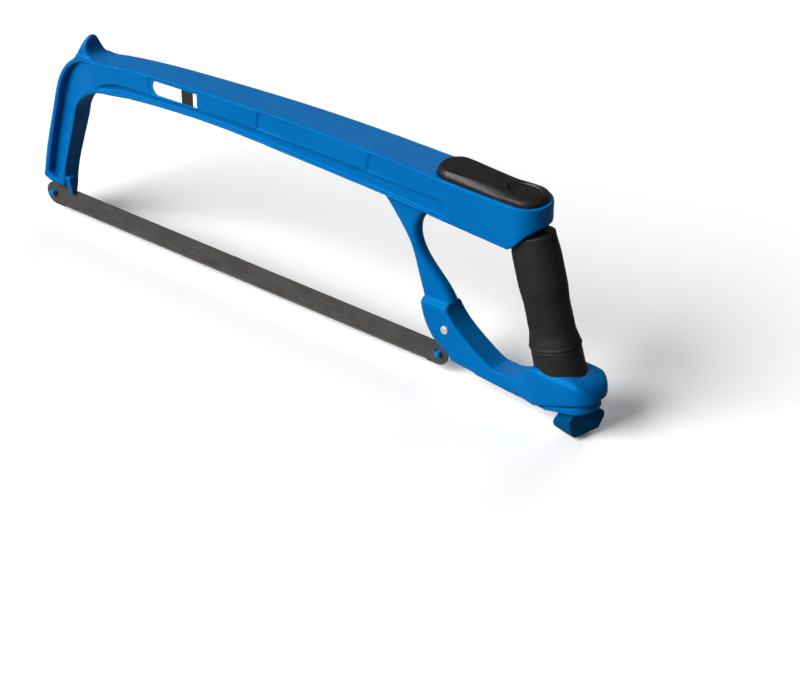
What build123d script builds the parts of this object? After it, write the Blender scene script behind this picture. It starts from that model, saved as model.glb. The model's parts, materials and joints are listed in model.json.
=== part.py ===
from build123d import *
import os
from math import cos, radians, sin, tan

# High-tension 12 inch hacksaw with a one-piece cast frame and a D handle.
# Millimetres.  Origin: centre of the front blade pin.  +X runs back along the blade to the
# handle, +Z runs up from the blade to the beam, Y = 0 is the blade's own plane.

# ---- blade ---------------------------------------------------------------------------------
PIN_SPACING = 300.0          # standard hole spacing of a 12 inch blade
BLADE_WIDTH = 15.0
BLADE_THICK = 0.7
BLADE_END_MARGIN = 6.0       # from pin centre to the blade's rounded end
BLADE_DROP = 0.5             # holes sit this much above the blade's middle line
BLADE_HOLE_R = 2.45
PIN_R = 1.75
HOLE_PULL = 0.68             # a tight blade's holes bear on the far sides of the pins
EDGE_HEIGHT = 1.3            # carbide grit band along the cutting edge
EDGE_THICK = 1.0
EDGE_MARGIN = 9.0            # plain steel at each end of the band

# ---- frame ---------------------------------------------------------------------------------
LEG_HALF = 7.0               # half width of the front leg
END_HALF = 13.5              # half width of the beam at its rounded rear end
BEAM_END_X = 369.0
WEB_HALF = 1.6               # thin web between the leg's two flanges
GROOVE_DEPTH = 3.2           # long groove above the beam's lower flange
GROOVE_FADE = 15.0           # length over which the groove and the flange's step start
FLANGE_INSET = 1.2           # the lower flange stands back this far from the beam's sides
PANEL_DEPTH = 0.8            # scooped panels on the beam's sides, deepest at their front ends
LABEL_THICK = 0.2
PANELS = ((97.0, 76.0), (180.0, 76.0), (259.0, 52.0))    # (start x, length)
POST_HALF = 4.3              # finger guard post between beam and lever housing
HOUSING_HALF = 7.3
LEDGE_LOW, LEDGE_HIGH = 34.7, 37.2   # sloped ledge where the post widens into the housing
BASE_HALF = 13.0             # rounded base below the grip
BASE_END_X = 395.0           # centre of the base's rounded end
CHANNEL_HALF = 4.95          # channel that the lever lies in
BASE_UNDER = ((371.0, 0.4), (397.0, 10.6))   # (x, z) ends of the base's sloped underside

# ---- tension lever, stud and knob -----------------------------------------------------------
PIVOT = (308.4, 21.7)        # x, z of the lever's pivot pin
PIVOT_R = 2.5
BUSH_R = 3.5
HUB_R = 6.6
LEVER_HALF = 4.6
TONGUE_FACE = 0.4            # the blade lies against this face, front and rear
RUN_CLEAR = 0.04             # radial clearance of a running fit
FOOT = (391.6, 3.1)          # x, z where the stud passes the lever foot's lower face
FOOT_R = 11.2                # half width and rear radius of the lever's foot
FOOT_REACH = 2.6             # the foot's round end is centred this far behind the stud
FOOT_FRONT_X = 377.0         # lower front edge of the foot, just behind the lower bar
FOOT_GAP = 0.5, 2.2          # between the foot and the base above it, at the front and rear
FOOT_REAR_X = 406.0
STUD_TILT = 12.0             # degrees that the stud leans back going down
STUD_R = 3.0                 # M6
STUD_SET = 19.0              # length of stud above the lever foot's lower face
STUD_ROOT_R = 2.6            # bottom of the groove for the retaining ring
SLOT_TRAVEL = 3.2            # the foot's slot is this much longer than the stud is thick
WASHER_R = 7.5
WASHER_THICK = 1.5
KNOB_REACH = 13.2            # half the knob's length
KNOB_SHORT = 9.8             # half its length on each wing's trailing side
KNOB_DEPTH = 13.4
KNOB_HALF_THICK = 6.2
KNOB_TURN = 68.0             # degrees from X at which the wings stand
KNOB_HUB_R, KNOB_HUB_DEPTH = 6.8, 4.8
INSERT_TOP, INSERT_THICK = 1.9, 4.0  # threaded insert, depth measured from the foot's face
RING_TOP, RING_THICK = 12.5, 0.6     # retaining ring near the stud's end
STUD_END = 13.5
CAP_TOP, CAP_THICK = 13.7, 1.1
KNOB_BORE_R = 4.6            # room for the retaining ring below the insert

# ---- grip and top pad -----------------------------------------------------------------------
GRIP_FOOT = (379.4, 25.0)    # x, z of the grip's centre line at its lower end
GRIP_LEAN = 15.6             # degrees that the grip's top leans forward
GRIP_AX, GRIP_AY = 15.2, 11.7
COLLAR_HEIGHT = 11.0
COLLAR_FOOT_Z = 21.0         # lowest point of the collar, at the sides of the crowned base
# (rise above the collar, change in half size): a waist for the little finger, then a fuller palm
SLEEVE_SHAPE = ((0, 0.0), (11, -1.7), (23, -1.9), (38, -1.0), (51, -1.0), (65, -1.9))
TANG_AX, TANG_AY = 9.0, 6.5  # cast core inside the grip
PAD_FRONT_X, PAD_REAR_X = 311.0, 355.6   # centres of the pad's rounded ends
PAD_R = 10.9
PAD_SEAT_Z = 115.0
PAD_TOP_Z = 122.4

AXIS_DOWN = Vector(sin(radians(STUD_TILT)), 0, -cos(radians(STUD_TILT)))

# (x, half width) along the beam and the leg, seen from above
BEAM_PLAN = ((-12, LEG_HALF), (30, LEG_HALF), (52, 8.3), (90, 9.4), (140, 10.3), (190, 11.2),
             (250, 12.1), (310, 12.9), (BEAM_END_X - END_HALF, END_HALF))
BASE_PLAN = ((285, HOUSING_HALF), (348, HOUSING_HALF), (357, 8.6), (366, 11.4),
             (376, 12.8), (BASE_END_X, BASE_HALF))


def at(x, z):
    """Point in the blade's plane."""
    return Vector(x, 0, z)


def slab(edges, y_low, y_high):
    """Closed outline in the XZ plane, extruded from y_low to y_high."""
    face = Pos(0, y_high, 0) * make_face(edges)
    return extrude(face, amount=y_high - y_low, dir=(0, -1, 0))


def both_sides(solid):
    return solid + mirror(solid, about=Plane.XZ)


def y_cylinder(x, z, radius, y_low, y_high):
    return Pos(x, (y_low + y_high) / 2, z) * Rot(90, 0, 0) * Cylinder(radius, y_high - y_low)


def plan_body(stations, inset, z_low, z_high):
    """Upright body whose half width follows the stations and whose rear end is round."""
    near = [Vector(x, inset - half, z_low) for x, half in stations]
    far = [Vector(x, half - inset, z_low) for x, half in reversed(stations)]
    end_x, end_half = stations[-1]
    rear = ThreePointArc(near[-1], Vector(end_x + end_half - inset, 0, z_low), far[0])
    outline = [Spline(*near), rear, Spline(*far), Line(far[-1], near[0])]
    return extrude(make_face(outline), amount=z_high - z_low, dir=(0, 0, 1))


def stud_frame(depth=0.0):
    """Plane square to the stud, `depth` below the lever foot's lower face."""
    origin = at(*FOOT) + AXIS_DOWN * depth
    return Plane(origin=origin, x_dir=(cos(radians(STUD_TILT)), 0, sin(radians(STUD_TILT))),
                 z_dir=AXIS_DOWN)


def stud_cylinder(radius, depth_from, depth_to):
    plane = stud_frame(depth_from)
    return extrude(plane * Circle(radius), amount=depth_to - depth_from)


# ---- frame casting --------------------------------------------------------------------------
def leg_and_beam_outline():
    leg_front = Spline(at(-1.3, 14.0), at(5.0, 41.5), at(12.4, 66.0), at(21.8, 91.5), at(31.5, 102.3))
    horn_front = Spline(at(31.5, 102.3), at(37.0, 108.0), at(40.6, 114.8), at(42.8, 120.0))
    horn_back = Spline(at(45.6, 120.0), at(44.4, 115.0), at(46.4, 110.6), at(51.0, 108.5), at(60.0, 108.9))
    top = Spline(at(60.0, 108.9), at(90.0, 112.6), at(140.0, 116.0), at(195.0, 118.4), at(255.0, 119.0),
                 at(310.0, 118.0), at(340.0, 117.6), at(BEAM_END_X, 118.0))
    rear_under = Spline(at(BEAM_END_X, 106.0), at(364.0, 103.2), at(358.0, 96.6), at(352.0, 91.4))
    under = Spline(at(318.0, 93.0), at(290.0, 94.1), at(250.0, 95.2), at(205.0, 96.1), at(155.0, 96.7),
                   at(105.0, 94.2), at(62.0, 89.2))
    inner_corner = Spline(at(62.0, 89.2), at(49.0, 85.8), at(38.5, 78.5), at(32.4, 69.0))
    leg_back = Spline(at(32.4, 69.0), at(24.6, 44.0), at(18.6, 25.0), at(15.4, 8.0))
    return [leg_front, horn_front, Line(at(42.8, 120.0), at(45.6, 120.0)), horn_back, top,
            Line(at(BEAM_END_X, 118.0), at(BEAM_END_X, 106.0)), rear_under,
            Line(at(352.0, 91.4), at(340.0, 92.0)), Line(at(340.0, 92.0), at(318.0, 93.0)),
            under, inner_corner, leg_back, Line(at(15.4, 8.0), at(13.6, 0.8)),
            Line(at(13.6, 0.8), at(9.5, 0.8)), Line(at(9.5, 0.8), at(2.8, 12.2)),
            Line(at(2.8, 12.2), at(-1.3, 14.0))]


def horn_rounding():
    """What the horn loses so that its tip is a half round seen from the front."""
    band = Pos(42, 0, 117) * Box(24, 30, 17)
    ellipse = Plane(origin=(30, 0, 108.5), x_dir=(0, 1, 0), z_dir=(1, 0, 0)) * Ellipse(7.0, 11.4)
    keep = extrude(ellipse, amount=24)
    return band - keep


def leg_recess():
    """Pocket between the leg's flanges; its floor ramps out at the corner."""
    outer_wall = Spline(at(3.3, 18.5), at(8.8, 42.0), at(16.2, 67.5), at(25.2, 91.5), at(36.5, 102.2),
                        at(47.0, 104.6))
    ceiling = Line(at(47.0, 104.6), at(51.0, 92.5))
    inner_wall = Spline(at(51.0, 92.5), at(43.0, 87.6), at(34.0, 79.0), at(28.4, 68.0), at(20.8, 44.0),
                        at(14.0, 19.0))
    floor_arc = ThreePointArc(at(14.0, 19.0), at(8.4, 15.2), at(3.3, 18.5))
    pocket = slab([outer_wall, ceiling, inner_wall, floor_arc], -20, -WEB_HALF)
    ramp = Polyline((24, -WEB_HALF, 60), (52, -8.6, 60), (52, 0, 60), (24, 0, 60), close=True)
    return pocket - extrude(make_face(ramp), amount=60, dir=(0, 0, 1))


def beam_half(x):
    """Half width of the beam at x."""
    for (x0, half0), (x1, half1) in zip(BEAM_PLAN, BEAM_PLAN[1:]):
        if x <= x1:
            return half0 + (half1 - half0) * (x - x0) / (x1 - x0)
    return END_HALF


def faded_cut(band, depth, start_x, length):
    """The part of a band that is cut `depth` into the beam's side, run out to nothing at its front end."""
    end_x = start_x + length
    corners = ((start_x - 1, -beam_half(start_x) - 0.2), (end_x, depth - beam_half(end_x)), (end_x, 0),
               (start_x - 1, 0))
    outline = Polyline(*[(x, y, 60) for x, y in corners], close=True)
    return band - plan_body(BEAM_PLAN, depth, 60, 125) - extrude(make_face(outline), amount=65, dir=(0, 0, 1))


def beam_groove():
    """Long groove between the side panels and the lower flange."""
    roof = Spline(at(52.0, 90.2), at(64.0, 96.6), at(90.0, 99.9), at(140.0, 103.3), at(190.0, 105.2),
                  at(250.0, 105.6), at(307.0, 105.2))
    end = ThreePointArc(at(307.0, 105.2), at(311.6, 99.8), at(307.0, 94.6))
    floor = Spline(at(307.0, 94.6), at(250.0, 96.6), at(205.0, 97.8), at(155.0, 98.7), at(105.0, 96.4),
                   at(64.0, 91.9), at(52.0, 90.2))
    return faded_cut(slab([roof, end, floor], -20, 0), GROOVE_DEPTH, 52, GROOVE_FADE)


def panel_floor(start_x, length, proud):
    """Upright prism whose near face is a panel's floor moved out by `proud`."""
    end_x = start_x + length
    front_y = -(beam_half(start_x) - PANEL_DEPTH + proud)
    rear_y = -(beam_half(end_x) + 0.1 + proud)
    corners = ((start_x - 1, front_y), (end_x + 1, rear_y), (end_x + 1, 0), (start_x - 1, 0))
    outline = Polyline(*[(x, y, 60) for x, y in corners], close=True)
    return extrude(make_face(outline), amount=65, dir=(0, 0, 1))


def side_panel(start_x, length):
    """Panel with a round front end, scooped in at the front and faded out at the rear."""
    low = Spline(at(60.0, 97.2), at(90.0, 100.9), at(140.0, 104.3), at(190.0, 106.2), at(250.0, 106.6),
                 at(345.0, 106.0))
    high = Spline(at(60.0, 107.8), at(90.0, 111.4), at(140.0, 114.8), at(195.0, 117.2), at(255.0, 117.8),
                  at(345.0, 116.6))
    strip = slab([low, Line(at(345.0, 106.0), at(345.0, 116.6)), high,
                  Line(at(60.0, 107.8), at(60.0, 97.2))], -20, 0)
    round_x, rear_x = start_x + 4, start_x + length
    round_end = slab([ThreePointArc(at(round_x, 120), at(start_x, 109), at(round_x, 98)),
                      Line(at(round_x, 98), at(rear_x, 98)), Line(at(rear_x, 98), at(rear_x, 120)),
                      Line(at(rear_x, 120), at(round_x, 120))], -20, 0)
    return (strip & round_end) - panel_floor(start_x, length, 0)


def flange_trim():
    """What the lower flange loses so that it stands back from the beam's sides."""
    top = Spline(at(64.0, 93.0), at(105.0, 97.2), at(155.0, 99.6), at(205.0, 98.9), at(250.0, 97.8),
                 at(300.0, 96.4))
    band = slab([top, Line(at(300.0, 96.4), at(300.0, 85)), Line(at(300.0, 85), at(64.0, 85)),
                 Line(at(64.0, 85), at(64.0, 93.0))], -20, 0)
    return faded_cut(band, FLANGE_INSET, 64, GROOVE_FADE)


def post():
    """Finger guard post, thinner than the housing below it and rounded on its finger side."""
    front = Spline(at(255.0, 96.0), at(262.6, 91.8), at(272.4, 81.0), at(281.5, 68.0), at(287.2, 52.0),
                   at(291.6, 37.0))
    back = Spline(at(311.0, 37.0), at(300.5, 50.5), at(290.0, 62.5), at(286.4, 72.0), at(288.6, 83.0),
                  at(298.0, 91.0), at(312.0, 95.0))
    body = slab([front, Line(at(291.6, 37.0), at(311.0, 37.0)), back,
                 Line(at(312.0, 95.0), at(312.0, 99.0)), Line(at(312.0, 99.0), at(255.0, 99.0)),
                 Line(at(255.0, 99.0), at(255.0, 96.0))], -POST_HALF, POST_HALF)
    side_edges = [e for e in body.edges() if e.geom_type == GeomType.BSPLINE]
    body = fillet([e for e in side_edges if (e @ 0.5).X < 284], 1.2)
    finger_edges = [e for e in body.edges() if e.length > 75 and (e @ 0.5).X > 284]
    return fillet(finger_edges, 3.6)


def bar_outline():
    """Housing and lower bar: narrow, and deep enough for the lever."""
    front = Spline(at(291.5, LEDGE_LOW), at(292.8, 28.0), at(297.6, 17.4), at(303.4, 11.2), at(309.6, 7.8),
                   at(312.6, 3.4))
    inner = Spline(at(361.0, 12.5), at(356.0, 9.8), at(350.0, 8.5), at(341.5, 8.9), at(333.6, 12.8),
                   at(324.0, 19.4), at(314.6, 27.4), at(309.1, LEDGE_LOW))
    return [front, Line(at(312.6, 3.4), at(328.4, 1.8)), Line(at(328.4, 1.8), at(329.2, 0.9)),
            Line(at(329.2, 0.9), at(375.4, -3.4)), Line(at(375.4, -3.4), at(377.2, 2.8)),
            Line(at(377.2, 2.8), at(378.0, 12.5)), Line(at(378.0, 12.5), at(361.0, 12.5)),
            inner, Line(at(309.1, LEDGE_LOW), at(291.5, LEDGE_LOW))]


def base_outline():
    """Wide base below the grip."""
    front = Spline(at(341.5, 8.9), at(350.0, 8.5), at(356.0, 9.8), at(361.0, 12.5), at(364.0, 18.4),
                   at(368.0, 22.8), at(375.0, 24.9), at(384.0, 25.2))
    rear = Spline(at(392.0, 25.2), at(400.0, 23.0), at(406.0, 18.6), at(407.4, 12.8))
    under_front, under_rear = at(*BASE_UNDER[0]), at(*BASE_UNDER[1])
    return [front, Line(at(384.0, 25.2), at(392.0, 25.2)), rear, Line(at(407.4, 12.8), under_rear),
            Line(under_rear, under_front), Line(under_front, at(341.5, 3.2)),
            Line(at(341.5, 3.2), at(341.5, 8.9))]


def base_crown():
    """Rounds the base's long upper edges; leaves the lower bar in front of it alone."""
    start_x, high = 350.0, 25.6
    front = Pos(start_x - 50, 0, 15) * Box(100, 40, 60)
    section = Plane(origin=(start_x, 0, 0), x_dir=(0, 1, 0), z_dir=(1, 0, 0))
    rounded = section * Pos(0, high - 25) * RectangleRounded(2 * BASE_HALF, 50, 5.8)
    return front + extrude(rounded, amount=60)


def housing_ledge():
    """Sloped shoulder between the post and the wider housing."""
    low = Plane.XY.offset(LEDGE_LOW) * Pos(300.3, 0) * RectangleRounded(17.6, 2 * HOUSING_HALF, 1.2)
    high = Plane.XY.offset(LEDGE_HIGH) * Pos(300.7, 0) * RectangleRounded(17.2, 2 * POST_HALF, 1.2)
    return loft([low.face(), high.face()])


def lower_body():
    """Housing, lower bar and base, before the lever's channel is cut."""
    bar = slab(bar_outline(), -HOUSING_HALF, HOUSING_HALF)
    base = slab(base_outline(), -20, 20) & plan_body(BASE_PLAN, 0, -15, 60)
    return bar + (base & base_crown())


def lever_channel():
    """Open-bottomed channel in the housing and the lower bar."""
    ceiling = Spline(at(390.0, 7.0), at(378.0, 6.4), at(366.0, 5.9), at(350.0, 5.7), at(342.0, 6.2),
                     at(332.6, 10.4), at(322.4, 16.4), at(315.3, 24.0), at(311.4, 28.2), at(303.0, 30.4))
    return slab([ceiling, Line(at(303.0, 30.4), at(280.0, 30.4)), Line(at(280.0, 30.4), at(280.0, -10.0)),
                 Line(at(280.0, -10.0), at(390.0, -10.0)), Line(at(390.0, -10.0), at(390.0, 7.0))],
                -CHANNEL_HALF, CHANNEL_HALF)


def grip_point(height):
    """Centre of the grip's section `height` along its centre line."""
    lean = radians(GRIP_LEAN)
    return at(GRIP_FOOT[0] - height * sin(lean), GRIP_FOOT[1] + height * cos(lean))


def grip_section(height, ax, ay):
    lean = radians(GRIP_LEAN)
    plane = Plane(origin=grip_point(height), x_dir=(cos(lean), 0, sin(lean)),
                  z_dir=(-sin(lean), 0, cos(lean)))
    return (plane * Ellipse(ax, ay)).face()


def toe_tongue():
    """Plate that the blade lies against, with the front pin through it."""
    outline = [Line(at(2.8, 16.0), at(-4.0, 3.0)),
               ThreePointArc(at(-4.0, 3.0), at(0.0, -5.0), at(4.6, -2.4)),
               Line(at(4.6, -2.4), at(13.6, 0.8)), Line(at(13.6, 0.8), at(16.0, 16.0)),
               Line(at(16.0, 16.0), at(2.8, 16.0))]
    return slab(outline, TONGUE_FACE, 6.2)


def toe_relief():
    """Space cut from the leg's near side, under a sloped face, for the blade's front end."""
    slope = make_face(Polyline((-10, -9, 13.5), (-10, TONGUE_FACE, 8.0), (-10, TONGUE_FACE, -12),
                               (-10, -9, -12), close=True))
    return extrude(slope, amount=26.2, dir=(1, 0, 0))


def toe_prong():
    """Tapered prong that keeps the blade from springing off its pin."""
    top = Plane.XY.offset(18.6) * Pos(17.6, -3.4) * Rectangle(6.0, 5.2)
    tip = Plane.XY.offset(4.6) * Pos(18.6, -1.9) * Rectangle(2.2, 2.0)
    return loft([top.face(), tip.face()])


def pad_outline(radius, z):
    near_front, near_rear = Vector(PAD_FRONT_X, -radius, z), Vector(PAD_REAR_X, -radius, z)
    far_front, far_rear = Vector(PAD_FRONT_X, radius, z), Vector(PAD_REAR_X, radius, z)
    rear_end, front_end = Vector(PAD_REAR_X + radius, 0, z), Vector(PAD_FRONT_X - radius, 0, z)
    return [Line(near_front, near_rear), ThreePointArc(near_rear, rear_end, far_rear),
            Line(far_rear, far_front), ThreePointArc(far_front, front_end, near_front)]


def frame_casting():
    upper = slab(leg_and_beam_outline(), -20, 20) & plan_body(BEAM_PLAN, 0, -15, 130)
    upper -= horn_rounding()
    upper -= both_sides(leg_recess())
    upper -= both_sides(beam_groove())
    upper -= both_sides(flange_trim())
    for start_x, length in PANELS:
        upper -= both_sides(side_panel(start_x, length))
    upper -= extrude(make_face(pad_outline(PAD_R, PAD_SEAT_Z)), amount=12, dir=(0, 0, 1))
    lower = lower_body() - lever_channel()
    tang = loft([grip_section(-6, TANG_AX, TANG_AY), grip_section(76, TANG_AX, TANG_AY)])
    body = upper + post() + housing_ledge() + lower + tang + toe_tongue()
    body -= toe_relief()
    body += toe_prong()
    blade_slot = Pos(16, 0, -2) * Box(14, 2 * TONGUE_FACE + 0.4, 20)
    body -= blade_slot
    body -= y_cylinder(0, 0, PIN_R, TONGUE_FACE - 1, 5.2)
    body -= y_cylinder(*PIVOT, PIVOT_R, -12, 12)
    body -= stud_cylinder(STUD_R, -STUD_SET, 0)
    return body


# ---- pieces fixed to the frame --------------------------------------------------------------
def grip_collar(casting):
    """Smooth end collar that sits on the crowned base."""
    body = loft([grip_section(-9, GRIP_AX + 1.6, GRIP_AY + 0.5), grip_section(0, GRIP_AX, GRIP_AY),
                 grip_section(COLLAR_HEIGHT, GRIP_AX - 0.4, GRIP_AY - 0.4)])
    body -= Pos(GRIP_FOOT[0], 0, COLLAR_FOOT_Z - 25) * Box(60, 60, 50)
    return (body - casting).solids().sort_by(SortBy.VOLUME)[-1]


def grip_sleeve(casting):
    body = loft([grip_section(COLLAR_HEIGHT + rise, GRIP_AX + change, GRIP_AY + 0.7 * change)
                 for rise, change in SLEEVE_SHAPE])
    body -= casting
    return max(body.solids(), key=lambda piece: piece.volume)


def top_pad():
    """Rubber pad with a crowned top and a lower thumb dish at its rear."""
    foot = extrude(make_face(pad_outline(PAD_R, PAD_SEAT_Z)), amount=PAD_TOP_Z - PAD_SEAT_Z, dir=(0, 0, 1))
    top_edges = [e for e in foot.edges() if (e @ 0.5).Z > PAD_TOP_Z - 0.01]
    pad = fillet(top_edges, 2.6)
    dish_x, dish_r = PAD_REAR_X - 7.5, 60.0
    dish = Pos(dish_x, 0, PAD_TOP_Z - 1.5 + dish_r) * Sphere(dish_r)
    return pad - dish


def label(side):
    """Thin blank name plate on the floor of the first side panel; side is -1 or +1."""
    start, length = PANELS[0]
    rear_x = start + 38
    outline = [Line(at(start + 7.5, 102.6), at(rear_x, 104.4)), Line(at(rear_x, 104.4), at(rear_x, 112.8)),
               Line(at(rear_x, 112.8), at(start + 5, 110.8)),
               ThreePointArc(at(start + 5, 110.8), at(start + 3.6, 106.4), at(start + 7.5, 102.6))]
    shell = panel_floor(start, length, LABEL_THICK) - panel_floor(start, length, 0)
    plate = slab(outline, -20, 0) & shell
    return plate if side < 0 else mirror(plate, about=Plane.XZ)


def front_blade_pin():
    pin = y_cylinder(0, 0, PIN_R, -3.3, 5.2)
    return chamfer(pin.edges().sort_by(Axis.Y)[0], 0.4)


def pivot_pin():
    pin = y_cylinder(*PIVOT, PIVOT_R, -HOUSING_HALF - 0.7, HOUSING_HALF + 0.7)
    return fillet(pin.edges().filter_by(GeomType.CIRCLE), 0.6)


def tension_stud():
    stud = stud_cylinder(STUD_R, -STUD_SET, STUD_END)
    groove = stud_cylinder(STUD_R + 1, RING_TOP - 0.1, RING_TOP + RING_THICK + 0.1)
    groove -= stud_cylinder(STUD_ROOT_R, RING_TOP - 1, RING_TOP + 2)
    return stud - groove


def stud_ring():
    """Retaining ring that stops the knob coming off the stud."""
    ring = stud_cylinder(KNOB_BORE_R - 0.3, RING_TOP, RING_TOP + RING_THICK)
    return ring - stud_cylinder(STUD_ROOT_R, RING_TOP - 1, RING_TOP + 2)


# ---- lever ----------------------------------------------------------------------------------
def lever_arm():
    top = Spline(at(306.2, 27.9), at(311.4, 26.2), at(316.2, 20.6), at(321.8, 14.6), at(331.4, 8.4),
                 at(341.5, 4.9), at(352.0, 4.6), at(370.0, 4.6), at(386.0, 5.4))
    bottom = Spline(at(386.0, 1.8), at(376.0, -2.2), at(352.0, -1.0), at(331.0, 1.6), at(319.0, 6.0),
                    at(309.0, 14.0), at(302.6, 19.0))
    return slab([top, Line(at(386.0, 5.4), at(386.0, 1.8)), bottom, Line(at(302.6, 19.0), at(306.2, 27.9))],
                -LEVER_HALF, LEVER_HALF)


def lever_tongue():
    """Short arm that carries the rear blade pin, on the far side of the blade."""
    outline = [Line(at(302.2, 24.0), at(296.0, 2.0)),
               ThreePointArc(at(296.0, 2.0), at(300.0, -4.5), at(304.4, -1.0)),
               Line(at(304.4, -1.0), at(314.8, 19.0)), Line(at(314.8, 19.0), at(302.2, 24.0))]
    return slab(outline, TONGUE_FACE, LEVER_HALF)


def foot_top(share):
    """Point on the foot's upper face, from its front edge (0) to its rear (1)."""
    (x0, z0), (x1, z1) = BASE_UNDER
    x = FOOT_FRONT_X + 0.9 + (FOOT_REAR_X - FOOT_FRONT_X) * share
    return at(x, z0 + (z1 - z0) * (x - x0) / (x1 - x0) - FOOT_GAP[0] * (1 - share) - FOOT_GAP[1] * share)


def foot_underside(x):
    return FOOT[1] + (x - FOOT[0]) * tan(radians(STUD_TILT))


def lever_foot():
    """Wedge-shaped foot that the knob pushes up; it follows the base's outline from below."""
    plan = stud_frame(-20) * (Pos(FOOT_REACH, 0) * Circle(FOOT_R)
                              + Pos(FOOT_REACH - 20, 0) * Rectangle(40, 2 * FOOT_R))
    low_front = at(FOOT_FRONT_X, foot_underside(FOOT_FRONT_X))
    low_rear = at(FOOT_REAR_X, foot_underside(FOOT_REAR_X))
    wedge = slab([Line(low_front, low_rear), Line(low_rear, foot_top(1)), Line(foot_top(1), foot_top(0)),
                  Line(foot_top(0), low_front)], -20, 20)
    return wedge & extrude(plan, amount=40)


def stud_slot():
    width = 2 * (STUD_R + 0.4)
    length = width + SLOT_TRAVEL
    return extrude(stud_frame(-8) * Pos(SLOT_TRAVEL / 2, 0) * SlotOverall(length, width), amount=9)


def tension_lever():
    hub = y_cylinder(*PIVOT, HUB_R, -LEVER_HALF, LEVER_HALF)
    body = hub + lever_arm() + lever_tongue() + lever_foot() - stud_slot()
    blade_end_x = PIN_SPACING + BLADE_END_MARGIN
    body -= Pos(blade_end_x - 8, -4.6, 0) * Box(20, 10, 24)
    body -= y_cylinder(*PIVOT, BUSH_R, -10, 10)
    body -= stud_cylinder(WASHER_R + 1.0, 0, 8.0)
    return body - y_cylinder(PIN_SPACING, 0, PIN_R, 0, 4.2)


def rear_blade_pin():
    pin = y_cylinder(PIN_SPACING, 0, PIN_R, -3.3, 4.2)
    return chamfer(pin.edges().sort_by(Axis.Y)[0], 0.4)


def pivot_bush(side):
    y_low, y_high = sorted((side * 0.2, side * (LEVER_HALF + 0.1)))
    return y_cylinder(*PIVOT, BUSH_R, y_low, y_high) - y_cylinder(*PIVOT, PIVOT_R + RUN_CLEAR, -10, 10)


# ---- washer and knob ------------------------------------------------------------------------
def thrust_washer():
    return stud_cylinder(WASHER_R, 0, WASHER_THICK) - stud_cylinder(STUD_R + 0.3, -1, WASHER_THICK + 1)


def knob_profile():
    """Side of the wing knob: narrow at the lever foot, widest at the wing tips, drawn in below."""
    half = [(6.8, 0.0), (KNOB_REACH + 0.6, 5.0), (KNOB_REACH + 0.6, 6.6), (7.8, KNOB_DEPTH)]
    return half + [(-x, z) for x, z in reversed(half)]


def knob_plan():
    """Knob seen along the stud: each wing's end is cut at a slant."""
    wide = KNOB_HALF_THICK + 1
    return [(-KNOB_REACH, -wide), (-KNOB_SHORT, wide), (KNOB_REACH, wide), (KNOB_SHORT, -wide)]


def wing_knob():
    top = stud_frame(WASHER_THICK)
    along = top.x_dir * cos(radians(KNOB_TURN)) - top.y_dir * sin(radians(KNOB_TURN))
    side = Plane(origin=top.origin, x_dir=along, z_dir=along.cross(AXIS_DOWN))
    profile = make_face(Polyline(*knob_profile(), close=True))
    wings = extrude(side * profile, amount=KNOB_HALF_THICK, both=True)
    wings = fillet(wings.edges(), 1.2)
    above = Plane(origin=top.origin, x_dir=along, z_dir=AXIS_DOWN)
    wings &= extrude(above * make_face(Polyline(*knob_plan(), close=True)), amount=KNOB_DEPTH)
    hub = stud_cylinder(KNOB_HUB_R, WASHER_THICK, WASHER_THICK + KNOB_HUB_DEPTH)
    body = wings + hub
    body -= stud_cylinder(STUD_R + 0.4, -1, INSERT_TOP + 1)
    body -= knob_insert_blank()
    return body - stud_cylinder(KNOB_BORE_R, INSERT_TOP + INSERT_THICK, WASHER_THICK + KNOB_DEPTH + 1)


def knob_insert_blank():
    return extrude(stud_frame(INSERT_TOP) * RegularPolygon(5.7, 6), amount=INSERT_THICK)


def knob_insert():
    """Hexagon nut moulded into the knob."""
    return knob_insert_blank() - stud_cylinder(STUD_R + RUN_CLEAR, 0, 20)


def knob_cap():
    """Plug that closes the knob's lower end."""
    return stud_cylinder(KNOB_BORE_R, CAP_TOP, CAP_TOP + CAP_THICK)


# ---- blade ----------------------------------------------------------------------------------
def blade_centre_z():
    return -BLADE_DROP


def saw_blade():
    radius = BLADE_WIDTH / 2
    length = PIN_SPACING + 2 * BLADE_END_MARGIN
    middle = Plane.XZ * Pos(PIN_SPACING / 2, blade_centre_z())
    strip = extrude(middle * SlotOverall(length, 2 * radius), amount=BLADE_THICK / 2, both=True)
    for x in (HOLE_PULL, PIN_SPACING - HOLE_PULL):
        strip -= y_cylinder(x, 0, BLADE_HOLE_R, -2, 2)
    low = blade_centre_z() - radius
    return strip - Pos(PIN_SPACING / 2, 0, low) * Box(PIN_SPACING - 2 * EDGE_MARGIN, 4, 2 * EDGE_HEIGHT)


def blade_grit_edge():
    low = blade_centre_z() - BLADE_WIDTH / 2
    return Pos(PIN_SPACING / 2, 0, low + EDGE_HEIGHT / 2) * Box(PIN_SPACING - 2 * EDGE_MARGIN, EDGE_THICK,
                                                               EDGE_HEIGHT)


def build_parts():
    casting = frame_casting()
    pad = top_pad()
    return {
        "frame_casting": casting,
        "grip_collar": grip_collar(casting),
        "grip_sleeve": grip_sleeve(casting),
        "top_pad": pad,
        "near_label": label(-1),
        "far_label": label(1),
        "front_blade_pin": front_blade_pin(),
        "pivot_pin": pivot_pin(),
        "tension_stud": tension_stud(),
        "stud_ring": stud_ring(),
        "tension_lever": tension_lever(),
        "rear_blade_pin": rear_blade_pin(),
        "near_pivot_bush": pivot_bush(-1),
        "far_pivot_bush": pivot_bush(1),
        "thrust_washer": thrust_washer(),
        "wing_knob": wing_knob(),
        "knob_insert": knob_insert(),
        "knob_cap": knob_cap(),
        "saw_blade": saw_blade(),
        "blade_grit_edge": blade_grit_edge(),
    }


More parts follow.
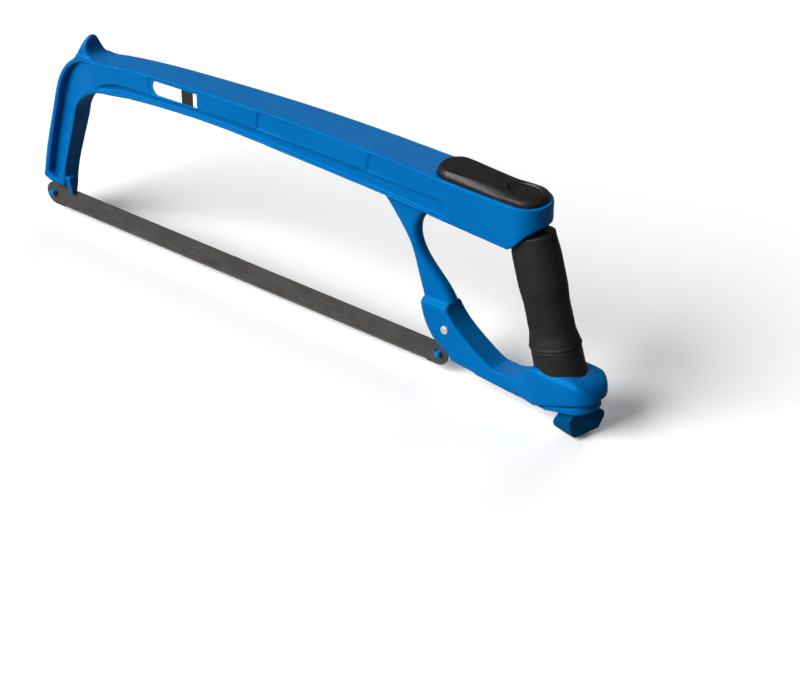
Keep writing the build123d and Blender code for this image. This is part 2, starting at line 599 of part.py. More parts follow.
os.makedirs("parts", exist_ok=True)
for node, solid in build_parts().items():
    export_step(solid, f"parts/{node}.step")
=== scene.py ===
"""Hacksaw: soft cast edges, rubber, grit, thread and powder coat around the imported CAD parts."""
import json
import math

import bmesh
import bpy
import numpy as np
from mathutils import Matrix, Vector, noise
from mathutils.bvhtree import BVHTree
from mathutils.kdtree import KDTree


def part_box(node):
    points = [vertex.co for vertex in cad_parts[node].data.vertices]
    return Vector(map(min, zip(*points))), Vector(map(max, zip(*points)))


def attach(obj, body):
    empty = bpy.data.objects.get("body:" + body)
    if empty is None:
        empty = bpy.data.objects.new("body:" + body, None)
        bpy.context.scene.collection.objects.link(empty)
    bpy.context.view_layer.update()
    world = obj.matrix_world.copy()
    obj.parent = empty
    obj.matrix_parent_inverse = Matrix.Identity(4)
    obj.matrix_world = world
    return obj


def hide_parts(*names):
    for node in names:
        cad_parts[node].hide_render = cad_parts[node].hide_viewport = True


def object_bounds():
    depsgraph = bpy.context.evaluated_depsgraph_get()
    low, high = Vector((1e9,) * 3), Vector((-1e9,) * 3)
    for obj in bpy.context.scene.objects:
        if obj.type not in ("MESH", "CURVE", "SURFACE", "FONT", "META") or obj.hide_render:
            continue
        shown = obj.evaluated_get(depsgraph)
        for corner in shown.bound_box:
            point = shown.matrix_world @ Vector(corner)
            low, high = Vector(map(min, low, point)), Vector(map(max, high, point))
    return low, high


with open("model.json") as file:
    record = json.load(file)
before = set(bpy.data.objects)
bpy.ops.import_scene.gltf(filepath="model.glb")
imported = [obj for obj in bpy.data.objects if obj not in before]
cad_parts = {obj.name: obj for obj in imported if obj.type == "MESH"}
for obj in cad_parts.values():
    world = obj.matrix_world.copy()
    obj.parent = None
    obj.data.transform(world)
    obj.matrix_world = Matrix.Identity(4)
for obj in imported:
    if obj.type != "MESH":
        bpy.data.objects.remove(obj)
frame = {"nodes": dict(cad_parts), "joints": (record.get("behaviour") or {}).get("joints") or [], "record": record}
cad_box = [list(corner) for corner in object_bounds()]
scene = bpy.context.scene
mounts = {mount["name"]: mount for mount in frame["record"]["mounts"]}
MM = 0.001
SHARP = math.radians(25)        # an edge that turns by more than this is rounded
SLIVER = 0.03 * MM              # triangles thinner than this are merged away before edges are sought
EDGE_REACH = 0.6                # share of a voxel within which a point is put on a sharp edge
EVEN_ROUNDS = 2                 # rounds that even out the last small steps
HALF_WAY = 0.5                  # how far one round moves a value to its neighbours' average


# ---- shared helpers -------------------------------------------------------------------------
def body_of(node):
    bodies = frame["record"]["behaviour"]["bodies"]
    return next(body for body, nodes in bodies.items() if node in nodes)


def new_piece(name, mesh, material, node):
    """A finished piece that stands for a CAD node and moves with its body."""
    piece = bpy.data.objects.new(name, mesh)
    scene.collection.objects.link(piece)
    mesh.materials.clear()
    mesh.materials.append(material)
    mesh.shade_smooth()
    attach(piece, body_of(node))
    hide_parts(node)
    return piece


def mesh_of(name, points, faces):
    mesh = bpy.data.meshes.new(name)
    mesh.from_pydata([tuple(point) for point in points], [], faces)
    mesh.validate()
    return mesh


def ring_faces(rings, count):
    """Quads that join `rings` closed rings of `count` points."""
    quads = []
    for ring in range(rings - 1):
        low, high = ring * count, (ring + 1) * count
        for i in range(count):
            j = (i + 1) % count
            quads.append((low + i, low + j, high + j, high + i))
    return quads


def spots_of(mesh):
    spots = np.empty(len(mesh.vertices) * 3)
    mesh.vertices.foreach_get("co", spots)
    return spots.reshape(-1, 3)


def put_spots(mesh, spots):
    mesh.vertices.foreach_set("co", spots.ravel())
    mesh.update()


def averaged(mesh, values, rounds, weight=HALF_WAY):
    """Per-vertex values moved by `weight` of the way to their neighbours' average, `rounds` times."""
    count = len(mesh.vertices)
    ends = np.empty(len(mesh.edges) * 2, dtype=np.int32)
    mesh.edges.foreach_get("vertices", ends)
    first, second = ends[0::2], ends[1::2]
    links = np.bincount(ends, minlength=count)
    for _ in range(rounds):
        sums = [np.bincount(first, values[second, axis], count)
                + np.bincount(second, values[first, axis], count) for axis in range(3)]
        values = values + (np.stack(sums, axis=1) / links[:, None] - values) * weight
    return values


def sharp_lines(shape, spacing):
    """Search tree of points along a shape's sharp edges, and how rounding to radius 1 moves each."""
    spots, pulls = [], []
    for edge in shape.edges:
        if len(edge.link_faces) == 2 and edge.calc_face_angle() > SHARP:
            out = (edge.link_faces[0].normal + edge.link_faces[1].normal).normalized()
            depth = math.sin(edge.calc_face_angle() / 2) / 2
            start, end = (vertex.co for vertex in edge.verts)
            steps = max(1, math.ceil((end - start).length / spacing))
            spots += [start.lerp(end, step / steps) for step in range(steps + 1)]
            pulls += [out * (-depth if edge.is_convex else depth)] * (steps + 1)
    tree = KDTree(len(spots))
    for index, spot in enumerate(spots):
        tree.insert(spot, index)
    tree.balance()
    return tree, pulls


def round_edges(mesh, shape, reach, radius):
    """Puts an even mesh exactly on a shape, then rounds the shape's sharp edges to a radius."""
    (lines, pulls), faces = sharp_lines(shape, reach / 4), BVHTree.FromBMesh(shape)
    moves = np.zeros((len(mesh.vertices), 3))
    for index, vertex in enumerate(mesh.vertices):
        spot, nearest, gap = lines.find(vertex.co)
        if gap < reach:
            vertex.co, gap = spot, 0.0
        else:
            vertex.co = faces.find_nearest(vertex.co)[0]
        if gap < radius:
            moves[index] = pulls[nearest] * radius * (1 - gap / radius) ** 2
    put_spots(mesh, spots_of(mesh) + averaged(mesh, moves, EVEN_ROUNDS))


def soften(node, material, voxel, radius):
    """Copy of a CAD node as it comes out of a mould: evenly meshed, with its sharp edges rounded."""
    work = bpy.data.objects.new("work", frame["nodes"][node].data.copy())
    scene.collection.objects.link(work)
    weld = bmesh.new()
    weld.from_mesh(work.data)
    bmesh.ops.remove_doubles(weld, verts=weld.verts, dist=0.001 * MM)
    bmesh.ops.dissolve_degenerate(weld, edges=weld.edges, dist=SLIVER)
    bmesh.ops.triangulate(weld, faces=weld.faces)
    weld.normal_update()
    weld.to_mesh(work.data)
    even = work.modifiers.new("even", "REMESH")
    even.mode = "VOXEL"
    even.voxel_size = voxel
    evaluated = work.evaluated_get(bpy.context.evaluated_depsgraph_get())
    mesh = bpy.data.meshes.new_from_object(evaluated)
    bpy.data.objects.remove(work)
    round_edges(mesh, weld, EDGE_REACH * voxel, radius)
    weld.free()
    put_spots(mesh, averaged(mesh, spots_of(mesh), EVEN_ROUNDS))
    return new_piece(node + "_skin", mesh, material, node)


def blend_steps(value, low, high):
    """0 below low, 1 above high, with a smooth ramp between."""
    share = np.clip((value - low) / (high - low), 0, 1)
    return share * share * (3 - 2 * share)


# ---- materials ------------------------------------------------------------------------------
class Surface:
    """One material: a Principled shader and the procedural nodes that feed it."""

    def __init__(self, name, **numbers):
        self.material = bpy.data.materials.new(name)
        self.material.use_nodes = True
        self.tree = self.material.node_tree
        self.shader = self.tree.nodes["Principled BSDF"]
        for socket, value in numbers.items():
            self.shader.inputs[socket.replace("_", " ")].default_value = value
        self.place = self.tree.nodes.new("ShaderNodeTexCoord").outputs["Object"]

    def feed(self, target, value):
        if hasattr(value, "is_linked"):
            self.tree.links.new(value, target)
        else:
            target.default_value = value

    def stretched(self, scale):
        mapping = self.tree.nodes.new("ShaderNodeMapping")
        mapping.inputs["Scale"].default_value = scale
        self.feed(mapping.inputs["Vector"], self.place)
        return mapping.outputs["Vector"]

    def noise(self, scale, detail=2.0, stretch=(1, 1, 1)):
        node = self.tree.nodes.new("ShaderNodeTexNoise")
        node.inputs["Scale"].default_value = scale
        node.inputs["Detail"].default_value = detail
        self.feed(node.inputs["Vector"], self.stretched(stretch))
        return node.outputs["Fac"]

    def cells(self, scale):
        node = self.tree.nodes.new("ShaderNodeTexVoronoi")
        node.inputs["Scale"].default_value = scale
        self.feed(node.inputs["Vector"], self.place)
        return node.outputs["Distance"]

    def spread(self, value, low, high, from_low=0.3, from_high=0.7):
        """Maps a value's usual range to low..high."""
        node = self.tree.nodes.new("ShaderNodeMapRange")
        ends = {"From Min": from_low, "From Max": from_high, "To Min": low, "To Max": high}
        for socket, number in ends.items():
            node.inputs[socket].default_value = number
        self.feed(node.inputs["Value"], value)
        return node.outputs["Result"]

    def mix(self, share, first, second):
        node = self.tree.nodes.new("ShaderNodeMix")
        node.data_type = "RGBA"
        self.feed(node.inputs[0], share)
        for socket, colour in ((node.inputs[6], first), (node.inputs[7], second)):
            self.feed(socket, colour if hasattr(colour, "is_linked") else (*colour, 1.0))
        return node.outputs[2]

    def calculate(self, first, second, operation="ADD"):
        node = self.tree.nodes.new("ShaderNodeMath")
        node.operation = operation
        self.feed(node.inputs[0], first)
        self.feed(node.inputs[1], second)
        return node.outputs[0]

    def edges(self, low, high):
        """1 along sharp outer edges, 0 on flat and hollow surfaces."""
        geometry = self.tree.nodes.new("ShaderNodeNewGeometry")
        return self.spread(geometry.outputs["Pointiness"], 0.0, 1.0, low, high)

    def along_x(self):
        split = self.tree.nodes.new("ShaderNodeSeparateXYZ")
        self.feed(split.inputs[0], self.place)
        return split.outputs["X"]

    def colour(self, value):
        self.feed(self.shader.inputs["Base Color"], value)

    def roughness(self, value):
        self.feed(self.shader.inputs["Roughness"], value)

    def bump(self, height, strength, distance):
        node = self.tree.nodes.new("ShaderNodeBump")
        node.inputs["Strength"].default_value = strength
        node.inputs["Distance"].default_value = distance
        self.feed(node.inputs["Height"], height)
        self.feed(self.shader.inputs["Normal"], node.outputs["Normal"])


def powder_coat(name, deep, light, edge):
    """Blue powder coat: orange peel, a slow drift in tone, and a painted highlight along sharp edges, where the
    colour turns lighter.
    """
    coat = Surface(name, Specular_IOR_Level=0.24, Specular_Tint=(0.0, 0.5, 1.0, 1.0))
    drift = coat.mix(coat.spread(coat.noise(26, 3), 0.0, 1.0), deep, light)
    # painted highlight: the pointiness mask gives sharp outer edges the lighter edge colour
    coat.colour(coat.mix(coat.edges(0.53, 0.62), drift, edge))
    coat.roughness(coat.spread(coat.noise(340, 3), 0.34, 0.46))
    peel = coat.calculate(coat.noise(750, 1), coat.calculate(coat.noise(2600, 2), 0.35, "MULTIPLY"))
    coat.bump(peel, 0.35, 0.09 * MM)
    return coat.material


def rubber(name, deep, light, rough, grain, depth):
    """Black moulded rubber with a fine pebbled grain."""
    skin = Surface(name, Specular_IOR_Level=0.35)
    skin.colour(skin.mix(skin.spread(skin.noise(90, 4), 0.0, 1.0), deep, light))
    skin.roughness(skin.spread(skin.noise(420, 2), rough - 0.06, rough + 0.08))
    pebbles = skin.calculate(skin.cells(grain), skin.calculate(skin.noise(grain * 3, 2), 0.4, "MULTIPLY"))
    skin.bump(pebbles, 0.5, depth)
    return skin.material


def steel(name, dark, light, rough, metallic=1.0, streaks=(1, 1, 1), grain=900):
    """Steel with fine streaks from grinding or turning."""
    metal = Surface(name, Metallic=metallic)
    lines = metal.noise(grain, 3, streaks)
    cloud = metal.noise(70, 3)
    metal.colour(metal.mix(metal.spread(metal.calculate(lines, cloud), 0.0, 1.0, 0.75, 1.25), dark, light))
    metal.roughness(metal.spread(lines, rough - 0.07, rough + 0.09))
    metal.bump(lines, 0.25, 0.03 * MM)
    return metal.material


def label_film(name, band_low, band_high):
    """Blank white film with one dark upright band between two places along x."""
    film = Surface(name, Specular_IOR_Level=0.5)
    x = film.along_x()
    past_low = film.calculate(x, band_low, "GREATER_THAN")
    before_high = film.calculate(x, band_high, "LESS_THAN")
    inside = film.calculate(past_low, before_high, "MULTIPLY")
    paper = film.mix(film.spread(film.noise(300, 3), 0.0, 1.0), (0.74, 0.75, 0.76), (0.86, 0.86, 0.85))
    ink = film.mix(film.spread(film.noise(500, 2), 0.0, 1.0), (0.016, 0.015, 0.014), (0.03, 0.028, 0.026))
    film.colour(film.mix(inside, paper, ink))
    film.roughness(film.spread(film.noise(200, 2), 0.22, 0.34))
    film.bump(film.noise(900, 2), 0.15, 0.02 * MM)
    return film.material


def grit(name):
    """Brazed carbide grains: dark, rough and faintly glinting."""
    grains = Surface(name, Metallic=0.6)
    cells = grains.cells(2600)
    glint = grains.spread(cells, 0.0, 1.0, 0.0, 0.6)
    grains.colour(grains.mix(glint, (0.035, 0.033, 0.03), (0.13, 0.125, 0.12)))
    grains.roughness(grains.spread(grains.noise(1800, 2), 0.45, 0.75))
    grains.bump(grains.calculate(cells, grains.noise(4000, 2)), 0.8, 0.12 * MM)
    return grains.material


# the third colour of each coat is its painted edge highlight
BLUE = powder_coat("blue_powder_coat", (0.0, 0.110, 0.345), (0.0, 0.128, 0.38), (0.01, 0.27, 0.64))
# painted shade: the knob is the frame's blue powder coat, painted darker as it looks in shade
KNOB_BLUE_PAINTED_SHADE = powder_coat("knob_blue_painted_shade", (0.0, 0.046, 0.135), (0.0, 0.054, 0.155), (0.002, 0.11, 0.27))
GRIP_RUBBER = rubber("black_grip_rubber", (0.006, 0.0052, 0.0046), (0.011, 0.0096, 0.0086),
                     rough=0.58, grain=1000, depth=0.10 * MM)
COLLAR_RUBBER = rubber("black_collar_rubber", (0.009, 0.0082, 0.0066), (0.013, 0.0118, 0.0096),
                       rough=0.5, grain=1800, depth=0.04 * MM)
PAD_RUBBER = rubber("black_pad_rubber", (0.0085, 0.0074, 0.0064), (0.014, 0.0125, 0.011),
                    rough=0.42, grain=1500, depth=0.05 * MM)
BUSH_PLASTIC = rubber("black_bush_plastic", (0.02, 0.02, 0.02), (0.04, 0.04, 0.04),
                      rough=0.35, grain=2500, depth=0.02 * MM)
BLADE_STEEL = steel("blued_blade_steel", (0.058, 0.054, 0.05), (0.088, 0.082, 0.077),
                    rough=0.5, metallic=0.35, streaks=(0.08, 1, 1), grain=1500)
# painted sheen: only half metallic, so the light steel colour shows as flat brightness that stands in for
# reflections
STEEL_WITH_PAINTED_SHEEN = steel("turned_steel_with_painted_sheen", (0.66, 0.64, 0.6), (0.84, 0.82, 0.78),
                     rough=0.3, metallic=0.5, streaks=(1, 0.2, 1), grain=1800)
BLACK_STEEL = steel("black_oxide_steel", (0.035, 0.035, 0.037), (0.075, 0.075, 0.08), rough=0.38)
GRIT = grit("carbide_grit")


# ---- powder-coated and moulded pieces ---------------------------------------------------------
BASE_FROM_X = (350 * MM, 366 * MM)     # the base starts where the lower bar widens
BASE_TO_Z = (26 * MM, 34 * MM)
BASE_ROUNDS = 20


def base_share(spots):
    """How strongly the base below the grip is smoothed: it is rounder than the rest of the casting."""
    behind = blend_steps(spots[:, 0], *BASE_FROM_X)
    below = 1 - blend_steps(spots[:, 2], *BASE_TO_Z)
    return (HALF_WAY * behind * below)[:, None]


def cast_parts():
    """Casting, lever and knob, each with its voxel size and edge radius."""
    unit = MM
    casting = soften("frame_casting", BLUE, 0.5 * unit, 1.1 * MM).data
    spots = spots_of(casting)
    put_spots(casting, averaged(casting, spots, BASE_ROUNDS, base_share(spots)))
    soften("tension_lever", BLUE, 0.4 * unit, 1.0 * MM)
    soften("wing_knob", KNOB_BLUE_PAINTED_SHADE, 0.3 * unit, 1.1 * MM)
    soften("knob_cap", KNOB_BLUE_PAINTED_SHADE, 0.25 * unit, 0.5 * MM)


# ---- grip -----------------------------------------------------------------------------------
SLEEVE_LENGTH = 65 * MM
GRIP_FORE, GRIP_SIDE = 15.2 * MM, 11.7 * MM     # half sizes where the sleeve meets the collar
SLEEVE_RISE = (0, 11, 23, 38, 51, 65)           # mm along the sleeve from its lower end
SLEEVE_CHANGE = (0.0, -1.7, -1.9, -1.0, -1.0, -1.9)     # mm by which it is slimmer there
SLEEVE_SIDE_SHARE, COLLAR_SIDE_SHARE = 0.7, 0.4         # how much of a change shows across the saw
LIP_RISE, LIP_WIDTH, LIP_SWELL = 1.2 * MM, 0.8 * MM, 0.35 * MM      # rolled lip at the lower end
TUCK_RISE, TUCK = 0.7 * MM, 0.8 * MM            # the very end turns in towards the collar
COLLAR_TOP, COLLAR_FOOT = -0.1 * MM, -20 * MM   # along the grip from the sleeve's lower end
FLARE_TOP, FLARE, COLLAR_TAPER = -11 * MM, 1.7, 0.4     # the collar widens below FLARE_TOP
COLLAR_FOOT_Z = 20.4 * MM                       # level where the base hides the collar's foot


def smooth_steps(value, stops, levels):
    """Value between the levels, eased from stop to stop."""
    for low, high, start, end in zip(stops, stops[1:], levels, levels[1:]):
        if value <= high:
            share = (1 - math.cos(math.pi * max(0.0, value - low) / (high - low))) / 2
            return start + (end - start) * share
    return levels[-1]


def grip_ring(height, fore, side, around, floor_z=None):
    """Oval ring across the grip's axis, `height` above the sleeve's lower end."""
    axis = Vector(mounts["grip"]["axis"]).normalized()
    across = Vector((axis.z, 0, -axis.x))
    centre = Vector(mounts["grip"]["pos_m"]) + axis * (height - SLEEVE_LENGTH / 2)
    ring = []
    for i in range(around):
        turn = 2 * math.pi * i / around
        point = centre + across * fore * math.cos(turn) + Vector((0, side * math.sin(turn), 0))
        if floor_z is not None:
            point.z = max(point.z, floor_z)
        ring.append(point)
    return ring


def tube_mesh(name, rings, around):
    points = [point for ring in rings for point in ring]
    faces = ring_faces(len(rings), around)
    faces.append(tuple(reversed(range(around))))
    faces.append(tuple((len(rings) - 1) * around + i for i in range(around)))
    return mesh_of(name, points, faces)


def grip_sleeve():
    """Oval rubber sleeve: a rolled lip at its foot, a waist above it and a fuller middle."""
    around, rows = 120, 150
    rings = []
    for row in range(rows):
        height = SLEEVE_LENGTH * row / (rows - 1)
        change = smooth_steps(height / MM, SLEEVE_RISE, SLEEVE_CHANGE) * MM
        lip = LIP_SWELL * math.exp(-((height - LIP_RISE) / LIP_WIDTH) ** 2)
        end = lip - TUCK * max(0.0, 1 - height / TUCK_RISE) ** 2
        side = GRIP_SIDE + SLEEVE_SIDE_SHARE * change + end
        rings.append(grip_ring(height, GRIP_FORE + change + end, side, around))
    new_piece("grip_sleeve_skin", tube_mesh("grip_sleeve", rings, around), GRIP_RUBBER, "grip_sleeve")


def grip_collar():
    """Smoother collar under the sleeve, flared where it meets the base."""
    around, rows = 120, 60
    rings = []
    for row in range(rows):
        height = COLLAR_FOOT + (COLLAR_TOP - COLLAR_FOOT) * row / (rows - 1)
        flare = FLARE * blend_steps(height, FLARE_TOP, COLLAR_FOOT) ** 1.5 if height < FLARE_TOP else 0.0
        taper = COLLAR_TAPER * (height - COLLAR_FOOT) / (COLLAR_TOP - COLLAR_FOOT)
        size = (flare - taper) * MM
        side = GRIP_SIDE + COLLAR_SIDE_SHARE * size
        rings.append(grip_ring(height, GRIP_FORE + size, side, around, COLLAR_FOOT_Z))
    new_piece("grip_collar_skin", tube_mesh("grip_collar", rings, around), COLLAR_RUBBER, "grip_collar")


# ---- thumb pad ------------------------------------------------------------------------------
# Each tuple of stops runs from the pad's front end, 0, to its rear end, 1; levels are in mm.
SHOULDER_STOPS = (0.0, 0.12, 0.62, 0.8, 1.0)
SHOULDER_WIDTH = (1.9, 1.6, 4.3, 3.0, 2.0)
DROP_STOPS, SHOULDER_DROP = (0.0, 0.6, 0.8, 1.0), (2.4, 3.0, 1.5, 1.2)
REAR_SINK, SINK_FROM, SINK_TO = 0.75 * MM, 0.45, 0.8     # the pad's top is lower behind its middle
DISH_FROM_END = 12.8 * MM
DISH_HALF_LENGTH, DISH_HALF_WIDTH, DISH_DEPTH = 10.4 * MM, 7.6 * MM, 1.0
RIM_PLACE, RIM_WIDTH, RIM_HEIGHT = 1.09, 0.06, 0.16
DOME_EDGE, DOME_RISE = 0.9, 0.5
SPINE_GAP = 0.015               # share of the radius left open along the middle, closed by the last face


def stadium_point(length, radius, share):
    """Point on the outline of a straight-sided oval about the origin, share from 0 to 1."""
    straight, bend = length - 2 * radius, math.pi * radius
    along = (share % 1.0) * 2 * (straight + bend)
    half = straight / 2
    if along < straight:
        return Vector((-half + along, -radius, 0))
    along -= straight
    if along < bend:
        turn = along / radius - math.pi / 2
        return Vector((half + radius * math.cos(turn), radius * math.sin(turn), 0))
    along -= bend
    if along < straight:
        return Vector((half - along, radius, 0))
    turn = (along - straight) / radius + math.pi / 2
    return Vector((-half + radius * math.cos(turn), radius * math.sin(turn), 0))


def pad_relief(x, y, length):
    """Thumb dish in the pad's rear third: a raised rim and a floor that is slightly domed."""
    q = math.hypot((x - (length / 2 - DISH_FROM_END)) / DISH_HALF_LENGTH, y / DISH_HALF_WIDTH)
    rim = math.exp(-((q - RIM_PLACE) / RIM_WIDTH) ** 2) * RIM_HEIGHT
    if q >= 1:
        return rim * MM
    wall = float(blend_steps(1 - q, 0.0, 0.11))
    dome = DOME_RISE * (1 - (q / DOME_EDGE) ** 2) if q < DOME_EDGE else 0.0
    return (rim - (DISH_DEPTH - dome) * wall) * MM


def top_pad():
    """Thumb pad: sloped shoulders that widen to the rear, a flat top and an oval dish."""
    low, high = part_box("top_pad")
    length, radius = high.x - low.x, (high.y - low.y) / 2 - 0.05 * MM
    middle = Vector(((low.x + high.x) / 2, 0, low.z))
    rise = high.z - low.z
    around = 520
    shoulder_rings, top_rings = 12, 34
    edges = [stadium_point(length, radius, i / around) for i in range(around)]
    points = [middle + edge for edge in edges]
    for ring in range(shoulder_rings + top_rings + 1):
        for edge in edges:
            rear = edge.x / length + 0.5
            shoulder = smooth_steps(rear, SHOULDER_STOPS, SHOULDER_WIDTH) * MM
            top = rise - REAR_SINK * float(blend_steps(rear, SINK_FROM, SINK_TO))
            foot = top - smooth_steps(rear, DROP_STOPS, SHOULDER_DROP) * MM
            if ring <= shoulder_rings:
                share = ring / shoulder_rings
                inset, height = shoulder * share, foot + (top - foot) * (1 - (1 - share) ** 1.5)
            else:
                share = (ring - shoulder_rings) / top_rings
                inset, height = shoulder + ((1 - SPINE_GAP) * radius - shoulder) * share, top
            spine_x = max(-length / 2 + radius, min(length / 2 - radius, edge.x))
            keep = 1 - inset / radius
            x, y = spine_x + (edge.x - spine_x) * keep, edge.y * keep
            if ring > shoulder_rings:
                height += pad_relief(x, y, length)
            points.append(middle + Vector((x, y, min(rise, height))))
    rings = shoulder_rings + top_rings + 2
    faces = ring_faces(rings, around)
    faces.append(tuple(reversed(range(around))))
    last = (rings - 1) * around
    faces.append(tuple(last + i for i in range(around)))
    new_piece("top_pad_skin", mesh_of("top_pad", points, faces), PAD_RUBBER, "top_pad")


# ---- blade edge and stud thread ---------------------------------------------------------------
def grit_edge():
    """Band of brazed grains along the blade's cutting edge, with an uneven lower line."""
    low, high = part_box("blade_grit_edge")
    columns = 1100
    half = ((0.2, 0.0), (0.42, 0.1), (0.5, 0.4), (0.46, 0.75), (0.35, 1.0))
    section = [(-side, level) for side, level in reversed(half)] + list(half)
    width, height = high.y - low.y, high.z - low.z
    rings = []
    for column in range(columns):
        x = low.x + (high.x - low.x) * column / (columns - 1)
        ring = []
        for side, level in section:
            spot = Vector((x, side * width, low.z + level * height))
            coarse = noise.noise(spot * 1100 + Vector((3.1, 0, 0)))
            fine = noise.noise(spot * 3400)
            shrink = 0.10 + 0.16 * (0.5 + 0.5 * coarse) + 0.08 * (0.5 + 0.5 * fine)
            ring.append(Vector((x, side * width * (1 - shrink), spot.z + shrink * height * (1 - level))))
        rings.append(ring)
    rings.reverse()
    new_piece("blade_grit_band", tube_mesh("grit_edge", rings, len(section)), GRIT, "blade_grit_edge")


THREAD_R, THREAD_ROOT_R, PITCH = 3.0 * MM, 2.5 * MM, 1.0 * MM      # M6 x 1.0
STUD_START, STUD_END = -19 * MM, 13.5 * MM                          # down from the lever's foot
THREAD_RUNOUT = 1.2 * MM                                            # the thread fades out at the end
FLAT_SHARE = 0.12                                                   # flat at each root and crest


def threaded_stud():
    """The tension stud with its M6 x 1.0 thread cut along its whole length."""
    joint = next(joint for joint in frame["joints"] if joint["name"] == "knob_spin")
    foot, down = Vector(joint["pos_m"]), Vector(joint["axis"]).normalized()
    across = Vector((-down.z, 0, down.x))
    around, per_turn = 48, 8
    rows = int((STUD_END - STUD_START) / PITCH * per_turn) + 1
    rings = []
    for row in range(rows):
        depth = STUD_START + (STUD_END - STUD_START) * row / (rows - 1)
        taper = min(1.0, (STUD_END - depth) / THREAD_RUNOUT)
        ring = []
        for i in range(around):
            turn = 2 * math.pi * i / around
            phase = (depth / PITCH - i / around) % 1.0
            crest = (abs(phase - 0.5) * 2 - FLAT_SHARE) / (1 - 2 * FLAT_SHARE)
            reach = (THREAD_R - THREAD_ROOT_R) * min(1.0, max(0.0, crest)) * taper
            offset = across * math.cos(turn) + Vector((0, 1, 0)) * math.sin(turn)
            ring.append(foot + down * depth + offset * (THREAD_ROOT_R + reach))
        rings.append(ring)
    new_piece("threaded_stud", tube_mesh("threaded_stud", rings, around), BLACK_STEEL, "tension_stud")


# ---- CAD nodes that keep their shape ----------------------------------------------------------
BAND_START, BAND_END = 0.655, 0.915         # the plate's dark band, as shares of its length


def finish_cad_nodes():
    low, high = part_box("near_label")
    length = high.x - low.x
    film = label_film("white_label_film", low.x + BAND_START * length, low.x + BAND_END * length)
    looks = {
        "near_label": film, "far_label": film, "front_blade_pin": BLUE, "rear_blade_pin": BLUE,
        "pivot_pin": STEEL_WITH_PAINTED_SHEEN, "stud_ring": BLACK_STEEL, "near_pivot_bush": BUSH_PLASTIC,
        "far_pivot_bush": BUSH_PLASTIC, "thrust_washer": BLACK_STEEL, "knob_insert": STEEL_WITH_PAINTED_SHEEN,
        "saw_blade": BLADE_STEEL,
    }
    for node, material in looks.items():
        data = frame["nodes"][node].data
        data.materials.clear()
        data.materials.append(material)


# ---- stage ----------------------------------------------------------------------------------
FLOOR_HALF = 6.0
KEY_FROM, KEY_STRENGTH, KEY_SPREAD = (-0.42, -0.82, 0.58), 4.95, 46
FILL_FROM, FILL_STRENGTH, FILL_SPREAD = (-0.25, 0.92, 0.20), 2.4, 50
TOP_PLACE, TOP_SIZE, TOP_WATTS = Vector((-0.3, -0.9, 0.9)), 0.5, 0.8        # from the saw's middle
FLOOR_GAP = 0.4 * MM            # between the saw's lowest point and the floor
CAMERA_AZIMUTH, CAMERA_ELEVATION = math.radians(37.63), math.radians(32.99)
CAMERA_PLACE, CAMERA_LENS = (0.9230, -0.8443, 0.69065), 101.6


def plain_floor(height):
    """Pale floor that gives back less light than it shows, which keeps the saw's shadow sides dark."""
    corners = [(x * FLOOR_HALF, y * FLOOR_HALF, height) for x, y in ((-1, -1), (1, -1), (1, 1), (-1, 1))]
    mesh = mesh_of("floor", corners, [(0, 1, 2, 3)])
    floor = bpy.data.objects.new("floor", mesh)
    scene.collection.objects.link(floor)
    paint = Surface("pale_floor", Specular_IOR_Level=0.0)
    paint.colour(paint.mix(paint.noise(4, 2), (0.93, 0.93, 0.925), (0.96, 0.96, 0.955)))
    paint.roughness(paint.spread(paint.noise(30, 2), 0.85, 0.95))
    nodes, links = paint.tree.nodes, paint.tree.links
    dim = nodes.new("ShaderNodeBsdfDiffuse")
    dim.inputs["Color"].default_value = (0.16, 0.16, 0.16, 1)
    pick = nodes.new("ShaderNodeMixShader")
    links.new(nodes.new("ShaderNodeLightPath").outputs["Is Camera Ray"], pick.inputs[0])
    links.new(dim.outputs[0], pick.inputs[1])
    links.new(paint.shader.outputs[0], pick.inputs[2])
    links.new(pick.outputs[0], nodes["Material Output"].inputs["Surface"])
    mesh.materials.append(paint.material)


def sun(name, direction, strength, spread, shine=True):
    """Soft parallel light from `direction`, the same all over the floor, with or without its reflection."""
    data = bpy.data.lights.new(name, "SUN")
    data.energy = strength
    data.angle = math.radians(spread)
    lamp = bpy.data.objects.new(name, data)
    lamp.rotation_mode = "QUATERNION"
    lamp.rotation_quaternion = (-Vector(direction)).to_track_quat("-Z", "Y")
    lamp.visible_glossy = shine
    scene.collection.objects.link(lamp)


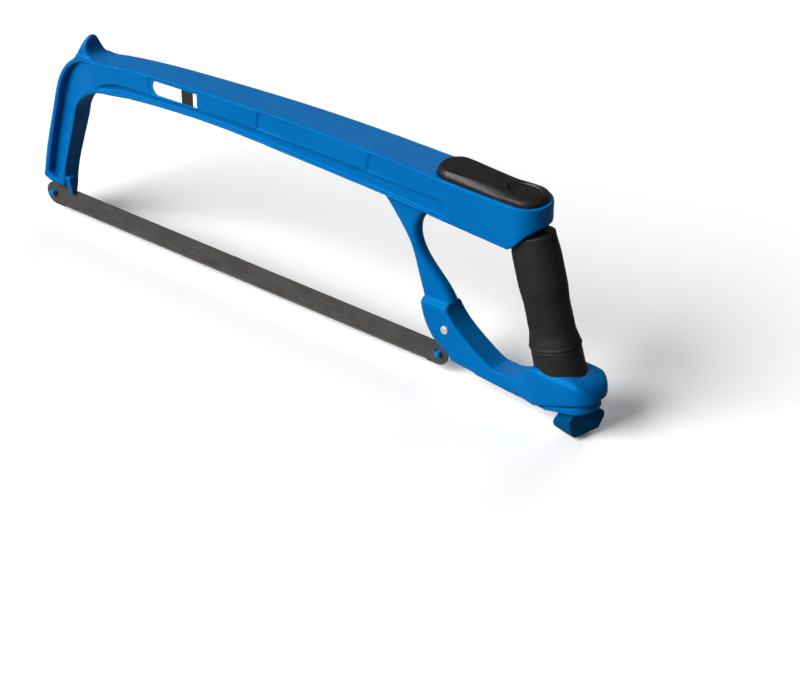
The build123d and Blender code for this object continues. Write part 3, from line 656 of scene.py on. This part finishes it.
def soft_light(name, place, target, size, energy):
    """Round lamp at `place` that shines at `target`."""
    data = bpy.data.lights.new(name, "AREA")
    data.shape = "DISK"
    data.size = size
    data.energy = energy
    lamp = bpy.data.objects.new(name, data)
    lamp.location = place
    lamp.rotation_mode = "QUATERNION"
    lamp.rotation_quaternion = (Vector(target) - Vector(place)).to_track_quat("-Z", "Y")
    scene.collection.objects.link(lamp)


def studio(middle):
    """Key from the front, a low fill from behind, and a pale backdrop that itself gives little light."""
    world = bpy.data.worlds.new("pale_studio")
    world.use_nodes = True
    nodes, links = world.node_tree.nodes, world.node_tree.links
    glow = nodes["Background"]
    glow.inputs["Color"].default_value = (0.97, 0.98, 1.0, 1)
    glow.inputs["Strength"].default_value = 0.12
    backdrop = nodes.new("ShaderNodeBackground")
    backdrop.inputs["Color"].default_value = (0.93, 0.93, 0.93, 1)
    pick = nodes.new("ShaderNodeMixShader")
    links.new(nodes.new("ShaderNodeLightPath").outputs["Is Camera Ray"], pick.inputs[0])
    links.new(glow.outputs[0], pick.inputs[1])
    links.new(backdrop.outputs[0], pick.inputs[2])
    links.new(pick.outputs[0], nodes["World Output"].inputs["Surface"])
    scene.world = world
    sun("key", KEY_FROM, KEY_STRENGTH, KEY_SPREAD)
    sun("fill", FILL_FROM, FILL_STRENGTH, FILL_SPREAD, shine=False)
    soft_light("top", middle + TOP_PLACE, middle, TOP_SIZE, TOP_WATTS)


def photo_camera():
    """Camera to the right of the saw, in front of it and above it, with a long lens."""
    level = math.cos(CAMERA_ELEVATION)
    forward = Vector((-math.sin(CAMERA_AZIMUTH) * level, math.cos(CAMERA_AZIMUTH) * level,
                      -math.sin(CAMERA_ELEVATION)))
    data = bpy.data.cameras.new("camera")
    data.sensor_width = 36.0
    data.lens = CAMERA_LENS
    camera = bpy.data.objects.new("camera", data)
    camera.location = CAMERA_PLACE
    camera.rotation_mode = "QUATERNION"
    camera.rotation_quaternion = forward.to_track_quat("-Z", "Y")
    scene.collection.objects.link(camera)
    scene.camera = camera


photo_camera()
cast_parts()
grip_sleeve()
grip_collar()
top_pad()
grit_edge()
threaded_stud()
finish_cad_nodes()
box_low, box_high = (Vector(corner) for corner in cad_box)
plain_floor(box_low.z - FLOOR_GAP)
studio((box_low + box_high) / 2)
scene.view_settings.view_transform = "Standard"
